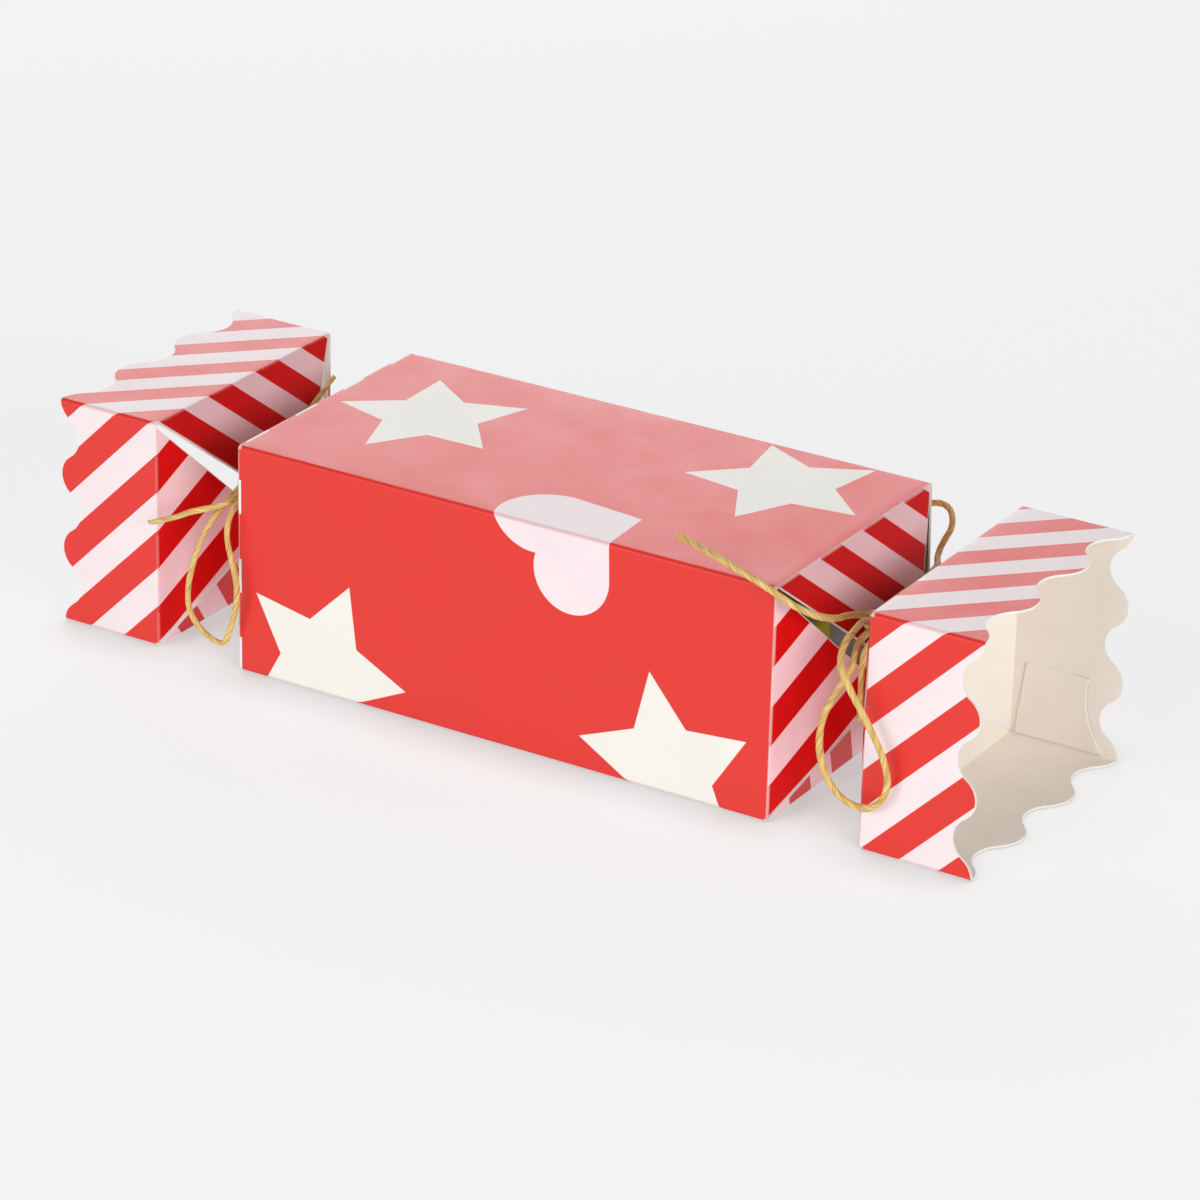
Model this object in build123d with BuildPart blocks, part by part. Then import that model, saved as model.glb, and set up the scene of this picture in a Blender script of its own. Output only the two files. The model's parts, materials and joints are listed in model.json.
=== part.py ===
from build123d import *
import os
from math import acos, cos, degrees, floor, radians, sin, tan

# A folding carton in the shape of a Christmas cracker: a four-sided tube of printed board
# that is pinched in at two necks. Each neck is tied with paper twine, and the tube holds a
# film pouch of sweets. Millimetres, +X along the tube, +Z up, front at -Y.
# The origin is at the middle of the bottom face.

os.makedirs("parts", exist_ok=True)

# Driving sizes of the carton
body_length = 150.0        # between the creases at the two ends of the body
box_width = 76.0           # depth of the tube, outside
box_height = 60.0          # height of the tube, outside
board = 0.5                # thickness of the carton board
fold_inner_r = 0.5         # inside radius of the four long folds

# The necks and the two flared ends
neck_length = 25.0         # crease to crease along X while the twine is tied
flap_length = 26.0         # each neck flap, from its crease to the waist
waist_tab = 6.0            # width that the cut sides leave of the front and back flaps at the waist
end_length = 29.0          # from the end's crease to the peaks of its wavy edge
waves = 3                  # waves on each side of an end
wave_depth = 5.4           # from peak to trough
crease_gap = 0.08          # clearance round a crease bead

# The glued seam inside the bottom back fold
glue_height = 19.0
glue_taper = 2.2           # how much the flap's ends lean in
glue_end_margin = 1.5      # from the crease to the foot of the flap
end_glue_foot = 23.5       # length of an end's glue flap along the fold
end_glue_top = 16.8        # length along its upper edge
end_glue_hollow = 2.2      # depth of its curved outer edge

# Twine
twine_d = 2.0
knot_r = 3.3
knot_forward = 13.0        # from the middle of the tube to the knot, toward the front
twine_bend = 6.0           # radius where the twine turns the corners of the waist
twine_seat = 0.15          # between the twine and the board that it presses
knot_seat = 0.3
strand_apart = 1.2         # sideways shift of the two ends that enter the knot

# Pouch and sweets
film = 0.3
pouch_seat = 0.2           # between the pouch and the board under it
pouch_side_gap = 3.0
pouch_end_gap = 3.0
pouch_head_space = 12.0    # free height over the settled sweets
pouch_seal = 10.0          # length of each flat end seal
pouch_round = 8.0
sweet_d = 19.0
sweet_h = 12.0
sweet_round = 4.0
sweet_gap = 0.4
flavours = ["strawberry", "orange", "lemon", "apple"]

# Sizes that follow
half_board = board / 2
fold_r = fold_inner_r + board
pinch_deg = degrees(acos(neck_length / 2 / flap_length))
pinch = flap_length * sin(radians(pinch_deg))
flap_narrowing = box_height / 2 - fold_r - waist_tab / 2
body_end = body_length / 2
waist_x = body_end + neck_length / 2
end_crease = body_end + neck_length
end_edge = end_crease + end_length
waist_setback = half_board * tan(radians(pinch_deg)) + crease_gap
waist_half_y = box_width / 2 - half_board - pinch
waist_half_z = box_height / 2 - half_board - pinch
mid_z = box_height / 2

# The four sides of the tube: outward direction, and half of the side's width
sides = {
    "front": (Vector(0, -1, 0), box_height / 2),
    "top": (Vector(0, 0, 1), box_width / 2),
    "back": (Vector(0, 1, 0), box_height / 2),
    "bottom": (Vector(0, 0, -1), box_width / 2),
}
ends = {"left": -1, "right": 1}


def side_middle(out, x):
    """The point halfway through the board in the middle of a side, at length x."""
    reach_y = out.Y * (box_width / 2 - half_board)
    reach_z = out.Z * (box_height / 2 - half_board)
    return Vector(x, reach_y, mid_z + reach_z)


def side_section(half):
    """Half of each long fold and the flat between them, drawn about the middle of the board."""
    flat = half - fold_r
    centre = half_board - fold_r
    lean = sin(radians(45))
    part_lean = sin(radians(22.5))
    part_rise = cos(radians(22.5))
    inner_r = fold_inner_r
    outer_end = (flat + fold_r * lean, centre + fold_r * lean)
    outer_mid = (flat + fold_r * part_lean, centre + fold_r * part_rise)
    inner_end = (flat + inner_r * lean, centre + inner_r * lean)
    inner_mid = (flat + inner_r * part_lean, centre + inner_r * part_rise)
    with BuildSketch(mode=Mode.PRIVATE) as section:
        with BuildLine():
            Line((0, half_board), (flat, half_board))
            ThreePointArc((flat, half_board), outer_mid, outer_end)
            Line(outer_end, inner_end)
            ThreePointArc(inner_end, inner_mid, (flat, -half_board))
            Line((flat, -half_board), (0, -half_board))
            Line((0, -half_board), (0, half_board))
        make_face()
        mirror(about=Plane.YZ)
    return section.sketch


def wave_cut(half, edge):
    """The waste outside the wavy edge of an end's side, with peaks at both folds."""
    pitch = 2 * half / waves
    middle = edge - wave_depth / 2
    first = -half - pitch / 4
    with BuildSketch(mode=Mode.PRIVATE) as waste:
        with BuildLine():
            for i in range(2 * waves + 1):
                start = first + i * pitch / 2
                swing = wave_depth / 2 if i % 2 == 0 else -wave_depth / 2
                crest = (middle + swing, start + pitch / 4)
                ThreePointArc((middle, start), crest, (middle, start + pitch / 2))
            last = first + (2 * waves + 1) * pitch / 2
            Polyline((middle, last), (edge + wave_depth, last), (edge + wave_depth, first), (middle, first))
        make_face()
    return waste.sketch


def write(piece, label):
    """Label a finished piece and write its file."""
    piece.part.label = label
    export_step(piece.part, f"parts/{label}.step")


# Body: four sides, with a round bead along both creases of each for the flap to turn on
for name, (out, half) in sides.items():
    across = out.cross(Vector(1, 0, 0))
    with BuildPart() as body_side:
        with BuildSketch(Plane(side_middle(out, -body_end), x_dir=across, z_dir=(1, 0, 0))):
            add(side_section(half))
        extrude(amount=body_length)
        for x in (-body_end, body_end):
            with BuildSketch(Plane(side_middle(out, x), x_dir=(1, 0, 0), z_dir=across)):
                Circle(half_board)
            extrude(amount=half - fold_r, both=True)
    write(body_side, f"body_{name}_panel")

# Body's glue flap: rises from the bottom fold and lies against the inside of the back
glue_plane = Plane((0, box_width / 2 - board, fold_r), x_dir=(1, 0, 0), z_dir=(0, -1, 0))
with BuildPart() as body_glue:
    with BuildSketch(glue_plane):
        foot = body_end - glue_end_margin
        with BuildLine():
            Polyline(
                (-foot, 0),
                (foot, 0),
                (foot - glue_taper, glue_height),
                (glue_taper - foot, glue_height),
                close=True,
            )
        make_face()
    extrude(amount=board)
write(body_glue, "body_glue_flap")

for end, turn in ends.items():
    # End: four sides with a bead along the crease and a wavy outer edge
    for name, (out, half) in sides.items():
        along = Vector(turn, 0, 0)
        across = out.cross(along)
        with BuildPart() as end_side:
            with BuildSketch(Plane(side_middle(out, turn * end_crease), x_dir=across, z_dir=along)):
                add(side_section(half))
            extrude(amount=end_length)
            with BuildSketch(Plane(side_middle(out, turn * end_crease), x_dir=along, z_dir=across)):
                Circle(half_board)
            extrude(amount=half - fold_r, both=True)
            with BuildSketch(Plane(side_middle(out, 0), x_dir=along, z_dir=out)):
                add(wave_cut(half, end_edge))
            extrude(amount=2 * fold_r, both=True, mode=Mode.SUBTRACT)
        write(end_side, f"{end}_end_{name}_panel")

    # Glue flap of the end, with a hollow outer edge
    with BuildPart() as end_glue:
        with BuildSketch(glue_plane):
            near = turn * (end_crease + glue_end_margin)
            lean = turn * glue_taper
            foot = near + turn * end_glue_foot
            top = near + lean + turn * end_glue_top
            hollow = ((foot + top) / 2 - turn * end_glue_hollow, glue_height / 2)
            with BuildLine():
                Line((near, 0), (foot, 0))
                ThreePointArc((foot, 0), hollow, (top, glue_height))
                Line((top, glue_height), (near + lean, glue_height))
                Line((near + lean, glue_height), (near, 0))
            make_face()
        extrude(amount=board)
    write(end_glue, f"{end}_end_glue_flap")

    # Neck: on each side one flap from the body and one from the end, meeting at the waist
    for name, (out, half) in sides.items():
        for row, crease, step in (("inner", body_end, turn), ("outer", end_crease, -turn)):
            slope = Vector(step, 0, 0) * cos(radians(pinch_deg)) - out * sin(radians(pinch_deg))
            outward = out * cos(radians(pinch_deg)) + Vector(step, 0, 0) * sin(radians(pinch_deg))
            reach = flap_length if row == "inner" else flap_length - waist_setback
            wide = half - fold_r
            narrow = wide - flap_narrowing * reach / flap_length
            hinge = side_middle(out, turn * crease)
            across = outward.cross(slope)
            with BuildPart() as flap:
                with BuildSketch(Plane(hinge, x_dir=slope, z_dir=outward)):
                    with BuildLine():
                        Polyline((0, -wide), (reach, -narrow), (reach, narrow), (0, wide), close=True)
                    make_face()
                extrude(amount=half_board, both=True)
                with BuildSketch(Plane(hinge, x_dir=slope, z_dir=across)):
                    Circle(half_board + crease_gap)
                extrude(amount=2 * wide, both=True, mode=Mode.SUBTRACT)
                if row == "inner":
                    with BuildSketch(Plane(hinge + slope * reach, x_dir=slope, z_dir=across)):
                        Circle(half_board)
                    extrude(amount=narrow, both=True)
            write(flap, f"{end}_{name}_{row}_flap")


# Twine: each stretch is a tube on straight runs and the largest arcs that they allow
def cord_radii(points):
    """The radius at each inner point of a route: 0.45 of the shorter run over the turn's half tangent."""
    runs = [b - a for a, b in zip(points, points[1:])]
    radii = []
    for before, after in zip(runs, runs[1:]):
        half_turn = radians(before.get_angle(after)) / 2
        radii.append(0.45 * min(before.length, after.length) / tan(half_turn))
    return radii


def cord(label, points, radii):
    """One stretch of twine, with its length, volume and tightest turn printed."""
    with BuildPart() as stretch:
        with BuildLine() as route:
            FilletPolyline(*points, radius=radii)
        path = route.wire()
        with BuildSketch(Plane(path @ 0, z_dir=path % 0)):
            Circle(twine_d / 2)
        sweep(path=path)
    expected = path.length * 3.14159265 * (twine_d / 2) ** 2
    share = stretch.part.volume / expected
    print(label, "length", round(path.length, 1), "volume over section times length", round(share, 4))
    print("  radii", [round(r, 1) for r in radii])
    write(stretch, label)
    return path


def least_gap(path, steps=400):
    """The least gap of a winding to itself, on points at least a quarter of its length apart."""
    spots = [path @ (i / steps) for i in range(steps + 1)]
    apart = steps // 4
    pairs = ((a, b) for i, a in enumerate(spots) for b in spots[i + apart:])
    return min((a - b).length for a, b in pairs) - twine_d


# Routes from the knot's middle. The front ones follow the strands that show.
right_routes = {
    "front_loop": [
        (1.3, -2.2, 1.8), (2.1, -9, 4.6), (4.2, -17, 5.8), (5, -24, 4.6), (6.8, -28.6, 1.6),
        (10.7, -29.6, -3.5), (16.2, -28.8, -12.5), (20.4, -28.1, -21.2), (20, -27.7, -28.6),
        (15.2, -27.5, -33.2), (8.6, -27.5, -32.4), (3.9, -27.5, -27.6), (1.7, -27.5, -20.5),
        (2.3, -27.4, -13), (5.1, -26.9, -6.5), (8.1, -25.2, -0.4), (6.7, -20.5, 3), (3.7, -11, 2.4),
        (1.9, -2.7, 0.1),
    ],
    "front_tail": [
        (-1.1, -1.6, 2.3), (-1.4, -8.5, 5.2), (-1.3, -17.5, 6.9), (-5.3, -25.3, 11), (-13, -29, 16.8),
        (-22.5, -27.8, 19), (-32.2, -24.4, 19.6), (-41, -20.4, 19.4),
    ],
    "back_loop": [
        (-0.5, 2.5, 1.6), (-1.1, 11, 3.4), (-1.3, 22, 4.3), (-1.7, 33, 3.8), (-3.7, 43, 2.7),
        (-6.3, 50.6, 2.3), (-8.5, 55.6, 3.8), (-13.3, 58.2, 5.2), (-20.3, 58.8, 2.4), (-25.5, 58.3, -5),
        (-27.2, 57.4, -14), (-24.5, 56.4, -22.5), (-17.5, 55.6, -26.4), (-10.5, 55, -22.6),
        (-6.1, 54.2, -14.5), (-3.3, 50.4, -6.5), (-1.1, 41.5, -1.7), (0.7, 30, 0.2), (1.5, 18.5, 0.6),
        (1.4, 9, 0.4), (1.1, 2.6, 0),
    ],
    "back_tail": [
        (1.4, 0.8, 2.4), (2.1, 8.5, 5.4), (2.5, 19, 6.8), (2.9, 30, 6.4), (3.4, 41, 4.2), (4.1, 51, 0.2),
    ],
}
left_routes = {
    "front_loop": [
        (1.3, -2.2, 1.6), (3.9, -9.5, 4.8), (6.5, -18, 6.2), (9.5, -25, 4), (10.6, -28, -2.5),
        (11.5, -28.2, -11), (13, -28, -19.5), (13.4, -27.7, -28), (11.6, -27.5, -35.6),
        (6.2, -27.4, -38.6), (0.4, -27.3, -34.4), (-1.4, -27.2, -26), (0.9, -27, -16.5), (5.3, -26.6, -8),
        (7.3, -24.2, -1.5), (5.6, -18, 1), (3.3, -9.5, 0.8), (1.5, -2.8, -0.4),
    ],
    "front_tail": [
        (-0.8, -2.3, 2), (0.9, -10, 4.4), (3.7, -18.5, 3.9), (5.6, -26.4, 0.8), (2.9, -30.2, -3.8),
        (-3.5, -29.8, -7.4), (-12.1, -28.4, -10.8),
    ],
    "back_loop": [
        (0.6, 2.5, 1.5), (1.5, 11, 3.3), (1.7, 22, 3.9), (2.3, 33, 3.2), (4.3, 43, 1.8), (7.3, 51, 1),
        (11.9, 56, 1.4), (18.3, 58, -1.4), (22.9, 57.8, -8.5), (23.5, 57, -17), (19.7, 56.2, -24.6),
        (12.7, 55.4, -26.8), (6.7, 54.8, -22), (3.5, 54, -14), (2.3, 50, -6.4), (1.1, 41.5, -1.8),
        (-0.5, 30, 0), (-1.5, 18.5, 0.5), (-1.4, 9, 0.3), (-1, 2.6, -0.1),
    ],
    "back_tail": [
        (-0.9, 1, 2.5), (-1.2, 9, 5.6), (-2.1, 19, 7), (-2.8, 30, 6.8), (-3.3, 40.5, 8),
    ],
}

seat_rise = (twine_d / 2 + half_board + twine_seat) / cos(radians(pinch_deg))
knot_rise = (knot_r + half_board + knot_seat) / cos(radians(pinch_deg))
ring_y = waist_half_y + seat_rise
ring_z = waist_half_z + seat_rise
for end, turn in ends.items():
    # Knot: sits in the top of the waist's groove, toward the front
    knot_at = Vector(turn * waist_x, -knot_forward, mid_z + waist_half_z + knot_rise)
    with BuildPart() as knot:
        with Locations(knot_at):
            Sphere(knot_r)
    write(knot, f"{end}_tie_knot")

    # Wrap: one turn round the waist, down the front and back along the top, to the knot
    dip = 0.79 * knot_r
    wrap_points = [
        knot_at + Vector(turn * strand_apart, -0.3 * knot_r, -dip),
        Vector(turn * waist_x, -ring_y, mid_z + ring_z),
        Vector(turn * waist_x, -ring_y, mid_z - ring_z),
        Vector(turn * waist_x, ring_y, mid_z - ring_z),
        Vector(turn * waist_x, ring_y, mid_z + ring_z),
        Vector(turn * waist_x, 2 * knot_r - knot_forward, mid_z + ring_z),
        knot_at + Vector(-turn * strand_apart, 0.33 * knot_r, -dip),
    ]
    wrap_radii = cord_radii(wrap_points)
    wrap_radii[1:4] = [twine_bend] * 3
    wrap_path = cord(f"{end}_tie_wrap", wrap_points, wrap_radii)
    print("  least gap of the wrap to itself", round(least_gap(wrap_path), 2))

    # Bow: two loops that leave and enter the knot, and two cut tails
    routes = left_routes if end == "left" else right_routes
    for stretch_name, offsets in routes.items():
        points = [knot_at + Vector(offset) for offset in offsets]
        cord(f"{end}_tie_{stretch_name}", points, cord_radii(points))

# Pouch: a closed film bag with a flat seal at each end, lying on the bottom of the body
pouch_length = body_length - 2 * pouch_end_gap
bag_length = pouch_length - 2 * pouch_seal
bag_width = box_width - 2 * board - 2 * pouch_side_gap
bag_height = box_height - 2 * board - pouch_head_space
bag_floor = board + pouch_seat
bag_middle = bag_floor + bag_height / 2
with BuildPart() as bag_inside:
    with Locations((0, 0, bag_middle)):
        Box(bag_length - 2 * film, bag_width - 2 * film, bag_height - 2 * film)
    fillet(bag_inside.edges(), pouch_round - film)
with BuildPart() as pouch:
    with Locations((0, 0, bag_middle)):
        Box(bag_length, bag_width, bag_height)
    fillet(pouch.edges(), pouch_round)
    for side in (-1, 1):
        with Locations((side * (bag_length + pouch_seal) / 2, 0, bag_middle)):
            Box(pouch_seal, bag_width - 2 * pouch_round, 2 * film)
    add(bag_inside.part, mode=Mode.SUBTRACT)
write(pouch, "sweet_pouch")

# Sweets: rounded drops in rows and layers inside the pouch, one piece for each flavour
sweet_pitch = sweet_d + sweet_gap
layer_pitch = sweet_h + sweet_gap
room_x = bag_length - 2 * film - 2 * sweet_gap
room_y = bag_width - 2 * film - 2 * sweet_gap
room_z = bag_height - 2 * film
count_x = floor((room_x + sweet_gap) / sweet_pitch)
count_y = floor((room_y + sweet_gap) / sweet_pitch)
count_z = floor(room_z / layer_pitch)
first_x = -(count_x - 1) / 2 * sweet_pitch
first_y = -(count_y - 1) / 2 * sweet_pitch
first_z = bag_floor + film + pouch_seat + sweet_h / 2
for kind, flavour in enumerate(flavours):
    places = []
    for k in range(count_z):
        for j in range(count_y):
            for i in range(count_x):
                if (i + 2 * j + k) % len(flavours) == kind:
                    spot = (first_x + i * sweet_pitch, first_y + j * sweet_pitch)
                    places.append((*spot, first_z + k * layer_pitch))
    with BuildPart() as drops:
        with Locations(places):
            Cylinder(sweet_d / 2, sweet_h)
        fillet(drops.edges().filter_by(GeomType.CIRCLE), sweet_round)
    write(drops, f"{flavour}_sweets")
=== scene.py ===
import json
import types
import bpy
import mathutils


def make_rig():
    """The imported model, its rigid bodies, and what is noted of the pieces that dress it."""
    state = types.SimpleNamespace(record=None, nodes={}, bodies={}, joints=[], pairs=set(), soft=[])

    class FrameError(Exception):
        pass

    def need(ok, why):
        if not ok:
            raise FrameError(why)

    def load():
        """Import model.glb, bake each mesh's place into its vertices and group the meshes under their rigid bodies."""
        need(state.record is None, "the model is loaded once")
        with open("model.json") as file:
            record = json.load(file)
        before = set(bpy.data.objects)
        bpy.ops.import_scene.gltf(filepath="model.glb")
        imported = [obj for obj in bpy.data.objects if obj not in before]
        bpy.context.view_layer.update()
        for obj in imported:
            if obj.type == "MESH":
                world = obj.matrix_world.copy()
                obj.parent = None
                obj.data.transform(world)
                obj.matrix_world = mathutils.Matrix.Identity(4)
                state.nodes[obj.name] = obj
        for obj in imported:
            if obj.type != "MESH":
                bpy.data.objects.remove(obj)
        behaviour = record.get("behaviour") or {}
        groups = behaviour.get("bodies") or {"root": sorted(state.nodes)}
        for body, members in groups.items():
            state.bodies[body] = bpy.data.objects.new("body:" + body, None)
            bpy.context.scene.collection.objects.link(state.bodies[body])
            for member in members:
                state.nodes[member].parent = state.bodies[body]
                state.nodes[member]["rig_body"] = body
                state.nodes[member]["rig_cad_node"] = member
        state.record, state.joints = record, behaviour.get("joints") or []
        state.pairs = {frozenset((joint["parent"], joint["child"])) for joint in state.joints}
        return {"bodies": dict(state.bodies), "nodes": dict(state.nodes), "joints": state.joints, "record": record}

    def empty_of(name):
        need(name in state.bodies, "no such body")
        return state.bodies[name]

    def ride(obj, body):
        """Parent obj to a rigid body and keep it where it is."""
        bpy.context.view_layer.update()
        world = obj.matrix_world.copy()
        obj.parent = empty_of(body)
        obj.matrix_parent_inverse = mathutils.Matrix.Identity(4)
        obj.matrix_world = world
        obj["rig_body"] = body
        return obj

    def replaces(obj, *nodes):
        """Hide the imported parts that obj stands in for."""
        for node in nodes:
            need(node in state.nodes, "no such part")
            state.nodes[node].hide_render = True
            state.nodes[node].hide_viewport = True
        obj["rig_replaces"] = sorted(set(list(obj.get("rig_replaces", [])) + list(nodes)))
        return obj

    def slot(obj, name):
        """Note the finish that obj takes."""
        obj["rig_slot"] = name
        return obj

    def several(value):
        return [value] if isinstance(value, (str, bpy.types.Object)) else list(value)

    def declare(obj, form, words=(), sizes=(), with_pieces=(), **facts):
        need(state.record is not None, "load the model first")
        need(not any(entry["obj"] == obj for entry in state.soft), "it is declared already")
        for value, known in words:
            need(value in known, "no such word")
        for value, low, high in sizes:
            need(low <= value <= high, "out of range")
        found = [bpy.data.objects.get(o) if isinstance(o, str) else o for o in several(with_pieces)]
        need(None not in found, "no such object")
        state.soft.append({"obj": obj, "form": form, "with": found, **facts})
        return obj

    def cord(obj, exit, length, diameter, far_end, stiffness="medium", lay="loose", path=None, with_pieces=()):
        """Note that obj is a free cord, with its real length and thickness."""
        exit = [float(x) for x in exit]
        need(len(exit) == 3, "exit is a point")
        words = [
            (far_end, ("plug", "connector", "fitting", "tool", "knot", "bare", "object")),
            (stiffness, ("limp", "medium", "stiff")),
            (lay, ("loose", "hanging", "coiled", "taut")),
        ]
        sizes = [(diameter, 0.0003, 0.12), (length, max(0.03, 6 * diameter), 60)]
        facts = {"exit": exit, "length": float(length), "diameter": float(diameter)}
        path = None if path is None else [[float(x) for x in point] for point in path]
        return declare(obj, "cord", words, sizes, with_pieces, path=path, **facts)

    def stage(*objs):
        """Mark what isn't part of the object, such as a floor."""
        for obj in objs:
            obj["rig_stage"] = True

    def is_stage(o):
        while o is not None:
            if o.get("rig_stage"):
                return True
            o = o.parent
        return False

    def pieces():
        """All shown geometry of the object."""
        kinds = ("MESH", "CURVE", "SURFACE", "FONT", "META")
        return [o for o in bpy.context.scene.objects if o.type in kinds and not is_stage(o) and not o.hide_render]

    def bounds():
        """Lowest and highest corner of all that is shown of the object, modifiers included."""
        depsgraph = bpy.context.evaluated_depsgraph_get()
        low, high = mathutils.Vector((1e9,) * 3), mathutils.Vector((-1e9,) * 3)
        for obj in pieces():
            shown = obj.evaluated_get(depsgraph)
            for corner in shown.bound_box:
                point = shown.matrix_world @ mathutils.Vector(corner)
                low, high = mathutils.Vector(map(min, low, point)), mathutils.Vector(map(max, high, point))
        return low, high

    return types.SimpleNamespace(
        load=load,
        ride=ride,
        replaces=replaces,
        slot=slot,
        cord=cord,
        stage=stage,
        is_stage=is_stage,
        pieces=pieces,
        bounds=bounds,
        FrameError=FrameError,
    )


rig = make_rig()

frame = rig.load()
cad_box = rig.bounds()

import json
from math import acos, ceil, cos, exp, pi, radians, sin, sqrt

import bmesh
import bpy
from mathutils import Matrix, Vector, noise

MM = 0.001

# The carton, in millimetres
BODY_END, WIDTH, HEIGHT = 75.0, 76.0, 60.0   # half of the body's length, the tube's depth and height
BOARD, FOLD = 0.5, 1.0                       # the board's thickness, the outer radius of the long folds
NECK, FLAP, END = 25.0, 26.0, 29.0           # a tied neck, a neck flap and an end, along the tube
WAVE_DEPTH, WAVES = 5.4, 3                   # the ends' wavy edges, and the waves on each side
WAIST_SETBACK = 0.536                        # an outer flap stops short of the inner flap's bead
WAIST, END_CREASE = BODY_END + NECK / 2, BODY_END + NECK
END_EDGE = END_CREASE + END
FLAT_WAIST, FLAT_CREASE = BODY_END + FLAP, BODY_END + 2 * FLAP
LEAN = acos(NECK / 2 / FLAP)
ENDS = {"left": -1, "right": 1}

# Each side: outward, the way that the sheet runs on round the tube, its middle on the sheet, half its width
SIDES = {
    "front": (Vector((0, -1, 0)), Vector((0, 0, 1)), HEIGHT / 2, HEIGHT / 2),
    "top": (Vector((0, 0, 1)), Vector((0, 1, 0)), HEIGHT + WIDTH / 2, WIDTH / 2),
    "back": (Vector((0, 1, 0)), Vector((0, 0, -1)), HEIGHT + WIDTH + HEIGHT / 2, HEIGHT / 2),
    "bottom": (Vector((0, 0, -1)), Vector((0, -1, 0)), -WIDTH / 2, WIDTH / 2),
}


# Small helpers for node trees
NUMBER, VECTOR = "NodeSocketFloat", "NodeSocketVector"


def add_node(tree, kind, **settings):
    made = tree.nodes.new(kind)
    for name, value in settings.items():
        setattr(made, name, value)
    return made


def feed(tree, socket, value):
    """A link where the value is a socket, and a plain setting where it is a number or a colour."""
    if isinstance(value, bpy.types.NodeSocket):
        tree.links.new(value, socket)
    else:
        socket.default_value = value


def maths(tree, operation, *values):
    made = add_node(tree, "ShaderNodeMath", operation=operation)
    for socket, value in zip(made.inputs, values):
        feed(tree, socket, value)
    return made.outputs[0]


def combine(tree, operation, values):
    """One value out of several, by an operation on two at a time."""
    result = values[0]
    for value in values[1:]:
        result = maths(tree, operation, result, value)
    return result


def vectors(tree, operation, *values):
    made = add_node(tree, "ShaderNodeVectorMath", operation=operation)
    for socket, value in zip(made.inputs, values):
        feed(tree, socket, value)
    return made.outputs["Value" if operation in ("DOT_PRODUCT", "LENGTH") else "Vector"]


def split(tree, vector):
    made = add_node(tree, "ShaderNodeSeparateXYZ")
    feed(tree, made.inputs[0], vector)
    return made.outputs["X"], made.outputs["Y"]


def blend_colour(tree, share, under, over, way="MIX"):
    made = add_node(tree, "ShaderNodeMix", data_type="RGBA", blend_type=way)
    feed(tree, made.inputs["Factor"], share)
    feed(tree, made.inputs["A"], under)
    feed(tree, made.inputs["B"], over)
    return made.outputs["Result"]


def cloud(tree, vector, scale, detail=3.0, roughness=0.5):
    made = add_node(tree, "ShaderNodeTexNoise")
    feed(tree, made.inputs["Vector"], vector)
    feed(tree, made.inputs["Scale"], scale)
    feed(tree, made.inputs["Detail"], detail)
    feed(tree, made.inputs["Roughness"], roughness)
    return made.outputs["Fac"]


def stretch(tree, vector, scale, turn=(0, 0, 0)):
    made = add_node(tree, "ShaderNodeMapping")
    feed(tree, made.inputs["Vector"], vector)
    feed(tree, made.inputs["Scale"], scale)
    feed(tree, made.inputs["Rotation"], turn)
    return made.outputs["Vector"]


def spread(tree, value, low, high, to_low=0.0, to_high=1.0):
    made = add_node(tree, "ShaderNodeMapRange", clamp=True)
    labels = ("Value", "From Min", "From Max", "To Min", "To Max")
    for label, setting in zip(labels, (value, low, high, to_low, to_high)):
        feed(tree, made.inputs[label], setting)
    return made.outputs["Result"]


def inside(tree, distance, soft=0.08):
    """1 where a distance in millimetres is below zero, with a printed edge's softness."""
    return spread(tree, distance, soft, -soft)


def object_place(tree):
    return add_node(tree, "ShaderNodeTexCoord").outputs["Object"]


def attribute(tree, name, output="Vector"):
    return add_node(tree, "ShaderNodeAttribute", attribute_name=name).outputs[output]


def emboss(tree, shader, height, strength, depth):
    """Fine relief, with its depth in millimetres."""
    bump = add_node(tree, "ShaderNodeBump")
    bump.inputs["Strength"].default_value = strength
    bump.inputs["Distance"].default_value = depth * MM
    feed(tree, bump.inputs["Height"], height)
    feed(tree, shader.inputs["Normal"], bump.outputs["Normal"])


def new_group(name, inputs, outputs):
    tree = bpy.data.node_groups.new(name, "ShaderNodeTree")
    for label, kind, value in inputs:
        socket = tree.interface.new_socket(label, in_out="INPUT", socket_type=kind)
        if value is not None:
            socket.default_value = value
    for label in outputs:
        tree.interface.new_socket(label, in_out="OUTPUT", socket_type=NUMBER)
    return tree, tree.nodes.new("NodeGroupInput").outputs, tree.nodes.new("NodeGroupOutput").inputs


def use_group(tree, group, **values):
    made = add_node(tree, "ShaderNodeGroup", node_tree=group)
    for label, value in values.items():
        feed(tree, made.inputs[label], value)
    return made.outputs


def new_material(name, colour):
    made = bpy.data.materials.new(name)
    made.use_nodes = True
    made.diffuse_color = colour
    return made, made.node_tree, made.node_tree.nodes["Principled BSDF"]


# Printed figures, in millimetres on the flat sheet
STRIPE_PERIOD, STAR_POINT = 20.35, 24.5
STAR_SIDE = (0.4462, 0.8949)   # square to a star's side: its notches are half as far out as its points


def stripes_group():
    """Slanting stripes: 1 in the red ones."""
    inputs = [("Sheet", VECTOR, None), ("Period", NUMBER, STRIPE_PERIOD), ("Offset", NUMBER, 0.0)]
    tree, given, out = new_group("slanting stripes", inputs, ["Red"])
    along, around = split(tree, given["Sheet"])
    run = maths(tree, "SUBTRACT", maths(tree, "SUBTRACT", around, along), given["Offset"])
    away = maths(tree, "PINGPONG", run, maths(tree, "MULTIPLY", given["Period"], 0.5))
    quarter = maths(tree, "MULTIPLY", given["Period"], 0.25)
    feed(tree, out["Red"], inside(tree, maths(tree, "SUBTRACT", away, quarter), soft=0.07))
    return tree


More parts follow.
